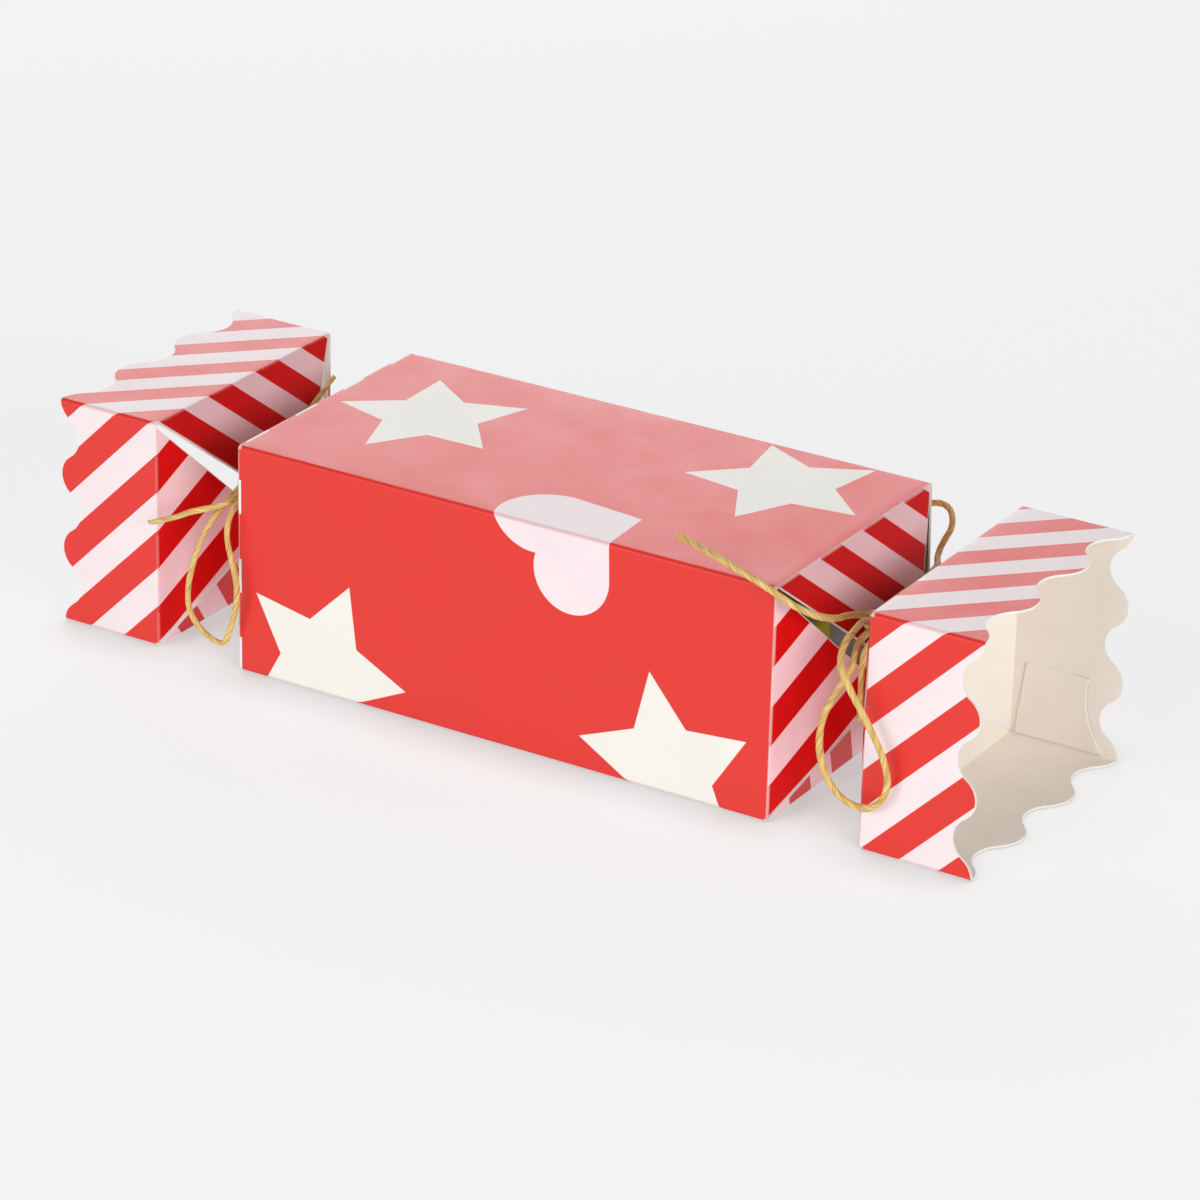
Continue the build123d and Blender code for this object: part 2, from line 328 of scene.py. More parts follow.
def star_group():
    """A star with five points: 1 inside it."""
    inputs = [("Sheet", VECTOR, None), ("Middle", VECTOR, None), ("Turn", NUMBER, 0.0),
              ("Point", NUMBER, STAR_POINT)]
    tree, given, out = new_group("five point star", inputs, ["Star"])
    off = vectors(tree, "SUBTRACT", given["Sheet"], given["Middle"])
    x, y = split(tree, off)
    angle = maths(tree, "SUBTRACT", maths(tree, "ARCTAN2", y, x), given["Turn"])
    fold = maths(tree, "PINGPONG", angle, pi / 5)
    reach = vectors(tree, "LENGTH", off)
    along = maths(tree, "MULTIPLY", reach, maths(tree, "COSINE", fold))
    aside = maths(tree, "MULTIPLY", reach, maths(tree, "SINE", fold))
    past_point = maths(tree, "MULTIPLY", maths(tree, "SUBTRACT", along, given["Point"]), STAR_SIDE[0])
    past_side = maths(tree, "MULTIPLY_ADD", aside, STAR_SIDE[1], past_point)
    feed(tree, out["Star"], inside(tree, past_side, soft=0.06))
    return tree


def heart_lobe_group():
    """A round lobe with straight sides that run to a point: 1 inside it."""
    inputs = [("Sheet", VECTOR, None), ("Tip", VECTOR, None), ("Axis", VECTOR, None), ("Reach", NUMBER, 20.0),
              ("Radius", NUMBER, 10.0)]
    tree, given, out = new_group("heart lobe", inputs, ["Lobe"])
    off = vectors(tree, "SUBTRACT", given["Sheet"], given["Tip"])
    along = vectors(tree, "DOT_PRODUCT", off, given["Axis"])
    beside = vectors(tree, "LENGTH", vectors(tree, "CROSS_PRODUCT", off, given["Axis"]))
    past = maths(tree, "SUBTRACT", along, given["Reach"])
    squares = maths(tree, "ADD", maths(tree, "MULTIPLY", past, past), maths(tree, "MULTIPLY", beside, beside))
    to_middle = maths(tree, "SQRT", squares)
    round_part = inside(tree, maths(tree, "SUBTRACT", to_middle, given["Radius"]), soft=0.06)
    slope = maths(tree, "DIVIDE", given["Radius"], given["Reach"])
    rise = maths(tree, "SQRT", maths(tree, "SUBTRACT", 1.0, maths(tree, "MULTIPLY", slope, slope)))
    side = maths(tree, "MULTIPLY", along, slope)
    past_side = maths(tree, "SUBTRACT", maths(tree, "MULTIPLY", beside, rise), side)
    limit = maths(tree, "MULTIPLY", given["Reach"], maths(tree, "MULTIPLY", rise, rise))
    before = maths(tree, "LESS_THAN", along, limit)
    wedge = maths(tree, "MULTIPLY", inside(tree, past_side, soft=0.06), before)
    feed(tree, out["Lobe"], maths(tree, "MAXIMUM", round_part, wedge))
    return tree


def grain_group():
    """The board's grain: soft mottling, short fibres and a fine tooth."""
    tree, given, out = new_group("board grain", [("Grain", NUMBER, 1.0)], ["Mottle", "Fibre", "Tooth"])
    place = vectors(tree, "SCALE", object_place(tree))
    place.node.inputs["Scale"].default_value = 1 / MM

    def finer(scale):
        return maths(tree, "MULTIPLY", given["Grain"], scale)

    one_way = cloud(tree, stretch(tree, place, (0.35, 3.2, 3.2), (0.3, 0.2, 0.5)), finer(0.9), 2.0)
    other = cloud(tree, stretch(tree, place, (3.0, 0.4, 1.7), (0.1, 0.6, 1.1)), finer(0.8), 2.0)
    feed(tree, out["Mottle"], cloud(tree, place, finer(0.06), 4.0, 0.6))
    feed(tree, out["Fibre"], spread(tree, maths(tree, "MAXIMUM", one_way, other), 0.6, 0.78))
    feed(tree, out["Tooth"], cloud(tree, place, finer(3.5), 3.0, 0.6))
    return tree


STRIPES, STAR, LOBE, GRAIN = stripes_group(), star_group(), heart_lobe_group(), grain_group()


# The print: inks, and where the figures lie on the flat sheet
RED, PINK = (0.74, 0.016, 0.007, 1), (0.885, 0.76, 0.775, 1)
# The necks' red and pink: the ends' inks painted deeper, as painted shade in the notches
SHADED_NECK_RED, SHADED_NECK_PINK = (0.64, 0.002, 0.002, 1), (0.90, 0.58, 0.61, 1)
STAR_WHITE, HEART_PINK = (0.86, 0.835, 0.765, 1), (0.885, 0.75, 0.775, 1)
# The bare board's white, also used for the painted highlight along the creases
# The tint along the folds is painted shade
BARE_AND_HIGHLIGHT_WHITE, FOLD_SHADE_TINT = (0.86, 0.84, 0.80, 1), (0.96, 0.7, 0.72, 1)
BODY_SHINE, NECK_SHINE = 0.6, 0.12
STRIPES_START = -91.1
# Each star: its middle, and its turn in degrees
STARS = [
    ((-46.75, 102.2, 0), 118.1), ((46.4, 114.6, 0), 126.8), ((-50.4, 7.4, 0), 70.8), ((47.9, 6.5, 0), 31.0),
    ((-30.0, 172.0, 0), 100.0), ((38.0, 160.0, 0), 78.0), ((-8.0, -44.0, 0), 62.0)]
# The heart: its tip, and each lobe's middle and radius
HEART_TIP = Vector((29.6, 76.2, 0))
HEART_LOBES = [(Vector((9.8, 65.5, 0)), 12.7), (Vector((20.35, 49.9, 0)), 10.4)]
# Creases: how far they lie off the panels' ends, and their cut dashes
CREASE_OFF = 0.1
DASH_PERIOD, DASH_SHARE = 21.0, 0.43
SLIT_CORNER = 0.75


def sheet_place(tree):
    """The place on the flat sheet, u along the tube and v round it, and both as numbers."""
    along, around = split(tree, attribute(tree, "sheet"))
    flat = add_node(tree, "ShaderNodeCombineXYZ")
    feed(tree, flat.inputs["X"], along)
    feed(tree, flat.inputs["Y"], around)
    return flat.outputs[0], along, around


def body_ink(tree, sheet):
    """Red, with white stars and a pink heart."""
    stars, lobes = [], []
    for middle, turn in STARS:
        stars.append(use_group(tree, STAR, Sheet=sheet, Middle=middle, Turn=radians(turn))["Star"])
    for middle, radius in HEART_LOBES:
        axis = middle - HEART_TIP
        lobe = use_group(tree, LOBE, Sheet=sheet, Tip=HEART_TIP, Axis=axis.normalized(), Reach=axis.length,
                         Radius=radius)
        lobes.append(lobe["Lobe"])
    ink = blend_colour(tree, combine(tree, "MAXIMUM", stars), RED, STAR_WHITE)
    return blend_colour(tree, combine(tree, "MAXIMUM", lobes), ink, HEART_PINK)


def striped_ink(tree, sheet, reach):
    """Red and pink stripes: in the necks the ends' inks are painted deeper, as painted shade."""
    on_end = maths(tree, "GREATER_THAN", reach, FLAT_CREASE - CREASE_OFF)
    pink = blend_colour(tree, on_end, SHADED_NECK_PINK, PINK)
    red = blend_colour(tree, on_end, SHADED_NECK_RED, RED)
    striped = use_group(tree, STRIPES, Sheet=sheet, Offset=STRIPES_START)["Red"]
    return blend_colour(tree, striped, pink, red)


def crease_lines(tree, along, around, reach, to_crease):
    """Creases are cut through in dashes, and a pale line runs between them, partly cracked ink and partly a painted
    highlight on the rounded crease, most at the body.
    """
    step = maths(tree, "FRACT", maths(tree, "DIVIDE", around, DASH_PERIOD))
    dash = maths(tree, "LESS_THAN", step, DASH_SHARE)
    at_body = maths(tree, "LESS_THAN", reach, BODY_END + 2)
    at_left = maths(tree, "MULTIPLY", maths(tree, "LESS_THAN", along, 0.0), at_body)
    thin, wider_at_left = 0.26, 0.45
    faint, open_at_left = 0.08, 0.75
    # A pale line along each crease: partly cracked ink, partly a painted highlight on the rounded crease
    crack_and_highlight, more_at_body = 0.04, 0.27
    half_wide = maths(tree, "MULTIPLY_ADD", maths(tree, "MULTIPLY", dash, at_left), wider_at_left, thin)
    open_dash = maths(tree, "MULTIPLY", dash, maths(tree, "MULTIPLY_ADD", at_left, open_at_left, faint))
    cracked_and_highlit = maths(tree, "MULTIPLY_ADD", at_body, more_at_body, crack_and_highlight)
    on_crease = inside(tree, maths(tree, "SUBTRACT", to_crease, half_wide))
    return maths(tree, "MULTIPLY", on_crease, maths(tree, "ADD", open_dash, cracked_and_highlit))


def ink_gaps_and_highlight(tree, along, around, reach, tooth):
    """How much of the white board shows through the ink, together with a painted highlight along the creases."""
    to_fold, to_cut = split(tree, attribute(tree, "edges"))
    creases = (BODY_END + CREASE_OFF, FLAT_WAIST, FLAT_CREASE - CREASE_OFF)
    to_crease = combine(tree, "MINIMUM", [
        maths(tree, "ABSOLUTE", maths(tree, "SUBTRACT", reach, crease)) for crease in creases])
    # The slits end in a bare rounded corner
    to_slit_end = maths(tree, "MAXIMUM", to_fold, to_crease)
    slit_end = inside(tree, maths(tree, "SUBTRACT", to_slit_end, SLIT_CORNER), soft=0.15)
    # Cut edges lose a hair of ink, unevenly
    at_cut = spread(tree, to_cut, 0.1, 0.27, 1.0, 0.0)
    chips = maths(tree, "MULTIPLY", at_cut, spread(tree, tooth, 0.35, 0.6, 0.55, 1.0))
    lines = crease_lines(tree, along, around, reach, to_crease)
    bare_and_highlight = combine(tree, "MAXIMUM", [lines, chips, maths(tree, "MULTIPLY", slit_end, 0.8)])
    return bare_and_highlight, to_fold


def printed_board(name, shine):
    """Satin varnished print: a red body with stars and a heart, and striped necks and ends."""
    made, tree, shader = new_material(name, (0.72, 0.02, 0.02, 1))
    sheet, along, around = sheet_place(tree)
    grain = use_group(tree, GRAIN, Grain=1.0)
    reach = maths(tree, "ABSOLUTE", along)
    on_body = maths(tree, "LESS_THAN", reach, BODY_END + 0.05)
    ink = blend_colour(tree, on_body, striped_ink(tree, sheet, reach), body_ink(tree, sheet))
    bare_and_highlight, to_fold = ink_gaps_and_highlight(tree, along, around, reach, grain["Tooth"])
    # White where the board is bare, and as a painted highlight along the creases
    ink = blend_colour(tree, bare_and_highlight, ink, BARE_AND_HIGHLIGHT_WHITE)
    # The ink lies a little thicker and thinner
    tint = spread(tree, grain["Mottle"], 0.3, 0.7, 0.965, 1.02)
    grey = add_node(tree, "ShaderNodeCombineColor")
    for label in ("Red", "Green", "Blue"):
        feed(tree, grey.inputs[label], tint)
    ink = blend_colour(tree, 1.0, ink, grey.outputs[0], way="MULTIPLY")
    # Painted shade along the folds: a deeper red, and a rougher varnish with less shine
    fold_line = spread(tree, to_fold, 0.3, 0.85, 1.0, 0.0)
    ink = blend_colour(tree, maths(tree, "MULTIPLY", fold_line, 0.8), ink, FOLD_SHADE_TINT, way="MULTIPLY")
    feed(tree, shader.inputs["Base Color"], ink)
    rough = spread(tree, grain["Mottle"], 0.3, 0.7, 0.40, 0.46)
    rough = maths(tree, "ADD", rough, maths(tree, "MULTIPLY", grain["Fibre"], 0.05))
    rough = maths(tree, "MAXIMUM", rough, maths(tree, "MULTIPLY", fold_line, 0.72))
    feed(tree, shader.inputs["Roughness"], rough)
    shader.inputs["Specular IOR Level"].default_value = shine
    relief = maths(tree, "ADD", grain["Tooth"], maths(tree, "MULTIPLY", grain["Mottle"], 2.0))
    emboss(tree, shader, maths(tree, "ADD", relief, grain["Fibre"]), strength=0.10, depth=0.04)
    return made


def bare_board():
    """The sheet's unprinted side: cream and faintly grey, with fibres."""
    made, tree, shader = new_material("bare_board", (0.86, 0.80, 0.72, 1))
    grain = use_group(tree, GRAIN, Grain=1.3)
    light, dark, fibre = (0.92, 0.855, 0.785, 1), (0.885, 0.81, 0.73, 1), (0.94, 0.90, 0.84, 1)
    colour = blend_colour(tree, spread(tree, grain["Mottle"], 0.32, 0.68), dark, light)
    colour = blend_colour(tree, maths(tree, "MULTIPLY", grain["Fibre"], 0.35), colour, fibre)
    feed(tree, shader.inputs["Base Color"], colour)
    feed(tree, shader.inputs["Roughness"], spread(tree, grain["Mottle"], 0.3, 0.7, 0.78, 0.9))
    emboss(tree, shader, maths(tree, "ADD", grain["Tooth"], grain["Fibre"]), strength=0.3, depth=0.06)
    return made


def cut_edge():
    """The white core that shows where the sheet is cut."""
    made, tree, shader = new_material("cut_edge", (0.85, 0.83, 0.80, 1))
    tooth = use_group(tree, GRAIN, Grain=2.0)["Tooth"]
    light, dark = (0.91, 0.90, 0.87, 1), (0.80, 0.77, 0.73, 1)
    feed(tree, shader.inputs["Base Color"], blend_colour(tree, spread(tree, tooth, 0.35, 0.65), dark, light))
    feed(tree, shader.inputs["Roughness"], spread(tree, tooth, 0.3, 0.7, 0.8, 0.95))
    emboss(tree, shader, tooth, strength=0.4, depth=0.05)
    return made


def paper_twine():
    """Golden paper, twisted into a cord: creases and straw-pale streaks wind along it, and the creases and pleats are
    painted darker, as painted shade.
    """
    made, tree, shader = new_material("paper_twine", (0.68, 0.43, 0.12, 1))
    twist, ridge = attribute(tree, "twist"), attribute(tree, "ridge", "Fac")
    streak = cloud(tree, stretch(tree, twist, (0.05, 1.5, 1.5)), 1.9, 3.0, 0.6)
    crease = cloud(tree, stretch(tree, twist, (0.035, 1.15, 1.15)), 2.6, 2.0, 0.5)
    fibre = cloud(tree, stretch(tree, twist, (0.08, 5.0, 5.0)), 2.2, 2.0)
    straw, gold, shade_brown = (0.88, 0.68, 0.27, 1), (0.68, 0.405, 0.095, 1), (0.34, 0.17, 0.03, 1)
    colour = blend_colour(tree, spread(tree, streak, 0.42, 0.6), gold, straw)
    # Painted shade: brown in the creases and in the deep pleats of the twist
    crease_shade = maths(tree, "MULTIPLY", spread(tree, crease, 0.55, 0.64), 0.65)
    pleat_shade = maths(tree, "MULTIPLY", spread(tree, ridge, 0.7, 0.1), 0.7)
    for dark in (crease_shade, pleat_shade):
        colour = blend_colour(tree, dark, colour, shade_brown)
    feed(tree, shader.inputs["Base Color"], colour)
    feed(tree, shader.inputs["Roughness"], spread(tree, streak, 0.35, 0.65, 0.66, 0.48))
    groove = maths(tree, "MULTIPLY", spread(tree, crease, 0.5, 0.66), 0.8)
    relief = maths(tree, "MULTIPLY_ADD", fibre, 0.25, maths(tree, "SUBTRACT", streak, groove))
    emboss(tree, shader, relief, strength=0.7, depth=0.16)
    return made


def clear_film():
    """Thin clear film, faintly blue, with soft creases."""
    made, tree, shader = new_material("clear_film", (0.9, 0.93, 0.95, 0.3))
    crease = cloud(tree, stretch(tree, object_place(tree), (0.5, 1.0, 1.4)), 160.0, 4.0, 0.65)
    blue, clear = (0.86, 0.91, 0.94, 1), (0.97, 0.98, 0.99, 1)
    feed(tree, shader.inputs["Base Color"], blend_colour(tree, crease, blue, clear))
    feed(tree, shader.inputs["Roughness"], spread(tree, crease, 0.3, 0.7, 0.08, 0.2))
    feed(tree, shader.inputs["Alpha"], spread(tree, crease, 0.4, 0.72, 0.02, 0.17))
    emboss(tree, shader, crease, strength=0.5, depth=0.6)
    return made


def sugar_group():
    """Sugar on a boiled sweet: where crystals cling, and their tooth."""
    tree, given, out = new_group("sugar dust", [("Cover", NUMBER, 0.5)], ["Dust", "Tooth"])
    place = object_place(tree)
    crystal = add_node(tree, "ShaderNodeTexVoronoi")
    feed(tree, crystal.inputs["Vector"], place)
    feed(tree, crystal.inputs["Scale"], 1800.0)
    patch = cloud(tree, place, 180.0, 3.0)
    grains = spread(tree, crystal.outputs["Distance"], 0.55, 0.2)
    cling = spread(tree, maths(tree, "ADD", patch, given["Cover"]), 0.85, 1.15)
    feed(tree, out["Dust"], maths(tree, "MULTIPLY", grains, cling))
    feed(tree, out["Tooth"], grains)
    return tree


SUGAR = sugar_group()


def boiled_sweet(name, colour, deep):
    """Clear coloured sugar, dusted with crystals."""
    made, tree, shader = new_material(name, colour)
    sugar = use_group(tree, SUGAR, Cover=0.45)
    swirl = cloud(tree, object_place(tree), 140.0, 2.0)
    body = blend_colour(tree, spread(tree, swirl, 0.35, 0.65), deep, colour)
    dusted = blend_colour(tree, maths(tree, "MULTIPLY", sugar["Dust"], 0.6), body, (0.95, 0.93, 0.9, 1))
    feed(tree, shader.inputs["Base Color"], dusted)
    feed(tree, shader.inputs["Roughness"], spread(tree, sugar["Dust"], 0.0, 0.6, 0.18, 0.55))
    shader.inputs["Subsurface Weight"].default_value = 0.35
    shader.inputs["Subsurface Radius"].default_value = (4 * MM, 2 * MM, 1 * MM)
    emboss(tree, shader, sugar["Tooth"], strength=0.35, depth=0.15)
    return made


PRINTED, NECK_PRINT = printed_board("printed_board", BODY_SHINE), printed_board("printed_neck", NECK_SHINE)
BARE, CUT, TWINE, FILM = bare_board(), cut_edge(), paper_twine(), clear_film()


# Board pieces
FAR = 9.0   # a distance to an edge or fold past which the print shows nothing of it


def clear_choice():
    if bpy.context.object and bpy.context.object.mode != "OBJECT":
        bpy.ops.object.mode_set(mode="OBJECT")
    bpy.ops.object.select_all(action="DESELECT")


def dress(piece, body, node, finish):
    """Let a piece move with a body, in the place of a CAD node."""
    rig.ride(piece, body)
    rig.replaces(piece, node)
    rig.slot(piece, finish)


def folded_sheet(name, columns, rows, sheet_at, place, edges_at):
    """A grid laid on the flat sheet and folded to its place. It keeps its flat place for the print."""
    clear_choice()
    bpy.ops.mesh.primitive_grid_add(x_subdivisions=len(columns) - 1, y_subdivisions=len(rows) - 1, size=2)
    piece = bpy.context.object
    piece.name = piece.data.name = name
    bpy.ops.object.mode_set(mode="EDIT")
    mesh = bmesh.from_edit_mesh(piece.data)
    sheet = mesh.verts.layers.float_vector.new("sheet")
    edges = mesh.verts.layers.float_vector.new("edges")
    column = mesh.verts.layers.int.new("column")
    last = len(columns) - 1
    for vert in mesh.verts:
        i = round((vert.co.x + 1) / 2 * last)
        j = round((vert.co.y + 1) / 2 * (len(rows) - 1))
        u, v = sheet_at(columns[i], rows[j])
        vert[sheet] = (u, v, 0)
        vert[edges] = (*edges_at(u, v), 0)
        vert[column] = -1 if i == 0 else 1 if i == last else 0
        vert.co = place(u, v) * MM
    bmesh.update_edit_mesh(piece.data)
    bpy.ops.object.mode_set(mode="OBJECT")
    return piece


def board_piece(name, columns, rows, sheet_at, place, edges_at, round_ends=(), skin=(PRINTED, BARE, CUT)):
    """A piece of the board: a folded sheet that is given its thickness, with its creases rounded."""
    piece = folded_sheet(name, columns, rows, sheet_at, place, edges_at)
    for material in skin:
        piece.data.materials.append(material)
    outer_count = len(piece.data.vertices)
    wall = piece.modifiers.new("board", "SOLIDIFY")
    wall.thickness = BOARD * MM
    wall.offset = -1
    wall.use_even_offset = True
    wall.material_offset, wall.material_offset_rim = 1, 2
    bpy.ops.object.modifier_apply(modifier="board")
    if round_ends:
        round_crease(piece, outer_count, round_ends)
    clear_choice()
    piece.select_set(True)
    bpy.context.view_layer.objects.active = piece
    bpy.ops.object.shade_smooth_by_angle(angle=radians(35))
    return piece


def round_crease(piece, outer_count, ends):
    """Round the board's end into a bead, where the next flap turns on it."""
    bpy.ops.object.mode_set(mode="EDIT")
    bpy.ops.mesh.select_mode(type="EDGE")
    bpy.ops.mesh.select_all(action="DESELECT")
    mesh = bmesh.from_edit_mesh(piece.data)
    column = mesh.verts.layers.int["column"]
    for edge in mesh.edges:
        a, b = edge.verts
        same_skin = (a.index < outer_count) == (b.index < outer_count)
        edge.select = same_skin and a[column] == b[column] and a[column] in ends
    mesh.select_flush_mode()
    bmesh.update_edit_mesh(piece.data)
    almost_half = BOARD / 2 * MM * 0.998
    bpy.ops.mesh.bevel(offset=almost_half, segments=4, profile=0.5, affect="EDGES", clamp_overlap=False)
    mesh = bmesh.from_edit_mesh(piece.data)
    for face in mesh.faces:
        if face.select and face.material_index == 2:
            face.material_index = 0
    bmesh.update_edit_mesh(piece.data)
    bpy.ops.object.mode_set(mode="OBJECT")


def even(low, high, step):
    count = max(1, ceil((high - low) / step))
    return [low + (high - low) * k / count for k in range(count + 1)]


def across_side(half, step):
    """Places across a side: close together round the two folds, even between them."""
    fold = [k / 6 for k in range(6)]
    flat = even(-(half - FOLD), half - FOLD, step)
    return [-half + f for f in fold] + flat + [half - f for f in reversed(fold)]


def on_tube(side, x, w, bow=0.0):
    """A point of the outer face of a side at x, w from its middle line."""
    out, across, _, half = SIDES[side]
    reach = WIDTH / 2 if out.y else HEIGHT / 2
    flat = half - FOLD
    spot = Vector((x, 0, HEIGHT / 2)) + out * reach
    if abs(w) <= flat:
        return spot + across * w + out * bow
    angle = (abs(w) - flat) / FOLD * pi / 4
    aside = (flat + FOLD * sin(angle)) * (1 if w > 0 else -1)
    return spot + across * aside - out * FOLD * (1 - cos(angle))


BODY_SWELL, BODY_STEP = 0.35, 3.0   # the full carton's sides bulge a little


def body_panel(side):
    _, _, middle, half = SIDES[side]
    swell = 0.0 if side == "bottom" else BODY_SWELL
    bead = BODY_END + BOARD / 2
    places = [-bead] + even(BODY_STEP - BODY_END, BODY_END - BODY_STEP, BODY_STEP) + [bead]

    def bow(u, w):
        if abs(u) >= BODY_END:
            return 0.0
        return swell * (1 - (u / BODY_END) ** 2) * (1 - min(1, abs(w) / (half - FOLD)) ** 2)

    return board_piece(
        f"body_{side}_board", places, across_side(half, BODY_STEP),
        lambda u, w: (u, middle + w),
        lambda u, v: on_tube(side, u, v - middle, bow(u, v - middle)),
        lambda u, v: (half - abs(v - middle), FAR), round_ends=(-1, 1))


def wave_edge(half, w):
    """How far out the wavy edge of an end lies, w from the side's middle line: arcs out and in by turns."""
    run = half / WAVES
    rise = WAVE_DEPTH / 2
    radius = (run * run / 4 + rise * rise) / (2 * rise)
    step = round((w + half) / run)
    off = w + half - step * run
    bulge = sqrt(radius * radius - off * off) - (radius - rise)
    return END_EDGE - rise + (bulge if step % 2 == 0 else -bulge)


END_STEP = 0.5
END_SHARES = [0.0, 0.1, 0.2, 0.3, 0.4, 0.5, 0.6, 0.7, 0.8, 0.88, 0.94, 0.975, 0.99, 1.0]   # closer at the edge


def end_panel(end, side):
    sign = ENDS[end]
    _, _, middle, half = SIDES[side]
    near = END_CREASE - BOARD / 2
    unfold = FLAT_CREASE - END_CREASE

    def sheet_at(share, w):
        return sign * (near + share * (wave_edge(half, w) - near) + unfold), middle + w

    return board_piece(
        f"{end}_end_{side}_board", END_SHARES[::sign], across_side(half, END_STEP), sheet_at,
        lambda u, v: on_tube(side, sign * (abs(u) - unfold), v - middle),
        lambda u, v: (half - abs(v - middle), wave_edge(half, v - middle) - (abs(u) - unfold)),
        round_ends=(-sign,))


# How much each flap's two cut edges come in for each millimetre from its crease: the lower slits nearly close
CUT_IN = {"front": (0.85, 1.0), "top": (1.0, 1.0), "back": (1.0, 0.85), "bottom": (0.868, 0.868)}
SLANT = 0.7       # from a distance across a flap to the distance square to its cut edge
FLAP_STEP = 1.5


def neck_flap(end, side, row):
    """A flap that leans in from its crease to the waist, from the body (inner) or from the end (outer)."""
    sign = ENDS[end]
    out, across, middle, half = SIDES[side]
    inner = row == "inner"
    step = sign if inner else -sign
    away = Vector((step, 0, 0)) * cos(LEAN) - out * sin(LEAN)
    outward = out * cos(LEAN) + Vector((step, 0, 0)) * sin(LEAN)
    crease = sign * (BODY_END if inner else END_CREASE)
    reach = (WIDTH if out.y else HEIGHT) / 2 - BOARD / 2
    hinge = Vector((crease, 0, HEIGHT / 2)) + out * reach
    last = FLAP + BOARD / 2 if inner else FLAP - WAIST_SETBACK
    depths = [0.0] + even(1.0, FLAP - FLAP_STEP, FLAP_STEP) + [last]

    def edge(depth, w):
        return half - FOLD - depth * CUT_IN[side][w > 0]

    def sheet_at(depth, share):
        u = sign * (BODY_END + depth if inner else FLAT_CREASE - depth)
        return u, middle + share * edge(depth, share)

    def depth_of(u):
        return abs(u) - BODY_END if inner else FLAT_CREASE - abs(u)

    return board_piece(
        f"{end}_{side}_{row}_board", depths[::step], even(-1, 1, 0.05), sheet_at,
        lambda u, v: hinge + away * depth_of(u) + across * (v - middle) + outward * (BOARD / 2),
        lambda u, v: (FAR, (edge(depth_of(u), v - middle) - abs(v - middle)) * SLANT),
        round_ends=(step,) if inner else (), skin=(NECK_PRINT, BARE, CUT))


# Glue flaps, inside the bottom back fold
GLUE_HEIGHT, GLUE_MARGIN, GLUE_TAPER = 19.0, 1.5, 2.2
END_GLUE_FOOT, END_GLUE_TOP, END_GLUE_HOLLOW = 23.5, 16.8, 2.2
END_GLUE_CURL, CURL_FROM = 0.35, 0.55   # the free end lifts a little, from this share of its length on


def glue_flap(name, near, far, curl):
    """A glue flap on the inside of the back: near and far give its two ends at a share of its height."""
    steps = even(0, 1, 0.04)

    def sheet_at(share, rise):
        return near(rise) + share * (far(rise) - near(rise)), FOLD + rise * GLUE_HEIGHT

    def place(u, v):
        rise = (v - FOLD) / GLUE_HEIGHT
        share = (u - near(rise)) / (far(rise) - near(rise))
        lift = 5 * curl * max(0.0, share - CURL_FROM) ** 2 * min(1.0, 3 * rise)
        return Vector((u, WIDTH / 2 - BOARD - lift, v))

    return board_piece(
        name, steps[::-1] if far(0) > near(0) else steps, steps, sheet_at, place,
        lambda u, v: (FAR, FAR), skin=(BARE, BARE, CUT))


def body_glue_flap():
    def foot(rise):
        return BODY_END - GLUE_MARGIN - GLUE_TAPER * rise

    return glue_flap("body_seam_board", foot, lambda rise: -foot(rise), curl=0.0)


def end_glue_flap(end):
    """It runs out from the end's crease to a hollow curved edge."""
    sign = ENDS[end]
    foot, top = GLUE_MARGIN + END_GLUE_FOOT, GLUE_MARGIN + GLUE_TAPER + END_GLUE_TOP

    def near(rise):
        return sign * (END_CREASE + GLUE_MARGIN + GLUE_TAPER * rise)

    def far(rise):
        hollow = END_GLUE_HOLLOW * (1 - (2 * rise - 1) ** 2)
        return sign * (END_CREASE + foot + (top - foot) * rise - hollow)

    return glue_flap(f"{end}_end_seam_board", near, far, curl=END_GLUE_CURL)


for side in SIDES:
    dress(body_panel(side), "carton", f"body_{side}_panel", "red_board")
dress(body_glue_flap(), "carton", "body_glue_flap", "bare_board")
for end in ENDS:
    for side in SIDES:
        dress(end_panel(end, side), f"{end}_end", f"{end}_end_{side}_panel", "striped_board")
        for row in ("inner", "outer"):
            dress(neck_flap(end, side, row), f"{end}_{side}_{row}", f"{end}_{side}_{row}_flap", "striped_board")
    dress(end_glue_flap(end), f"{end}_end", f"{end}_end_glue_flap", "bare_board")


